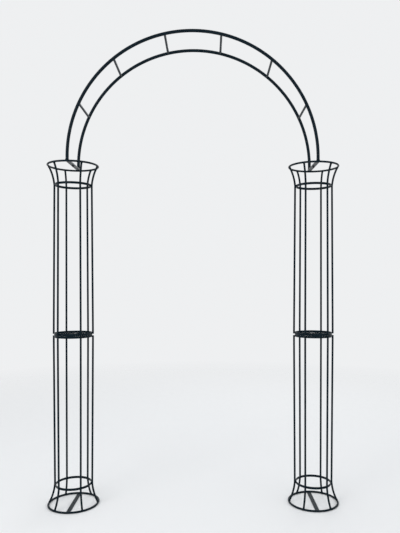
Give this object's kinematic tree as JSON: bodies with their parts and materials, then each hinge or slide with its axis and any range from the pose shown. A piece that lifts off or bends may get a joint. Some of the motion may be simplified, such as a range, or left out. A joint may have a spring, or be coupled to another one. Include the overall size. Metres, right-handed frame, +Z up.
{
  "type": "garden arch",
  "caption": "Free-standing garden arch: round open cage pillars with flared tops and feet, bolted in sections, carry a pair of semicircular tube hoops joined by cross bars.",
  "frame": {"origin": "on the ground, midway between the two pillars, under the middle of the arch", "axes": "+Z up, +X across the arch to the right seen from the front, +Y from the front hoop to the back hoop"},
  "size_m": [1.506, 0.262, 2.4],
  "materials": {
    "satin_black_paint": "satin powder coat on steel",
    "blackened_steel": "black oxide, lightly oiled"
  },
  "bodies": {
    "root": {"left_upper_rod_1": "satin_black_paint", "left_upper_rod_2": "satin_black_paint", "left_upper_rod_3": "satin_black_paint", "left_upper_rod_4": "satin_black_paint", "left_upper_rod_5": "satin_black_paint", "left_upper_rod_6": "satin_black_paint", "left_upper_crown_ring": "satin_black_paint", "left_upper_neck_ring": "satin_black_paint", "left_upper_joint_ring": "satin_black_paint", "left_upper_crown_strap": "satin_black_paint", "left_lower_rod_1": "satin_black_paint", "left_lower_rod_2": "satin_black_paint", "left_lower_rod_3": "satin_black_paint", "left_lower_rod_4": "satin_black_paint", "left_lower_rod_5": "satin_black_paint", "left_lower_rod_6": "satin_black_paint", "left_lower_foot_ring": "satin_black_paint", "left_lower_neck_ring": "satin_black_paint", "left_lower_joint_ring": "satin_black_paint", "left_lower_foot_strap": "satin_black_paint", "right_upper_rod_1": "satin_black_paint", "right_upper_rod_2": "satin_black_paint", "right_upper_rod_3": "satin_black_paint", "right_upper_rod_4": "satin_black_paint", "right_upper_rod_5": "satin_black_paint", "right_upper_rod_6": "satin_black_paint", "right_upper_crown_ring": "satin_black_paint", "right_upper_neck_ring": "satin_black_paint", "right_upper_joint_ring": "satin_black_paint", "right_upper_crown_strap": "satin_black_paint", "right_lower_rod_1": "satin_black_paint", "right_lower_rod_2": "satin_black_paint", "right_lower_rod_3": "satin_black_paint", "right_lower_rod_4": "satin_black_paint", "right_lower_rod_5": "satin_black_paint", "right_lower_rod_6": "satin_black_paint", "right_lower_foot_ring": "satin_black_paint", "right_lower_neck_ring": "satin_black_paint", "right_lower_joint_ring": "satin_black_paint", "right_lower_foot_strap": "satin_black_paint", "front_hoop": "satin_black_paint", "back_hoop": "satin_black_paint", "cross_bar_1": "satin_black_paint", "cross_bar_2": "satin_black_paint", "cross_bar_3": "satin_black_paint", "cross_bar_4": "satin_black_paint", "cross_bar_5": "satin_black_paint", "cross_bar_6": "satin_black_paint", "left_hoop_strap": "satin_black_paint", "right_hoop_strap": "satin_black_paint", "left_joint_bolt": "blackened_steel", "left_joint_nut": "blackened_steel", "left_crown_bolt": "blackened_steel", "left_crown_nut": "blackened_steel", "right_joint_bolt": "blackened_steel", "right_joint_nut": "blackened_steel", "right_crown_bolt": "blackened_steel", "right_crown_nut": "blackened_steel"}
  },
  "joints": []
}
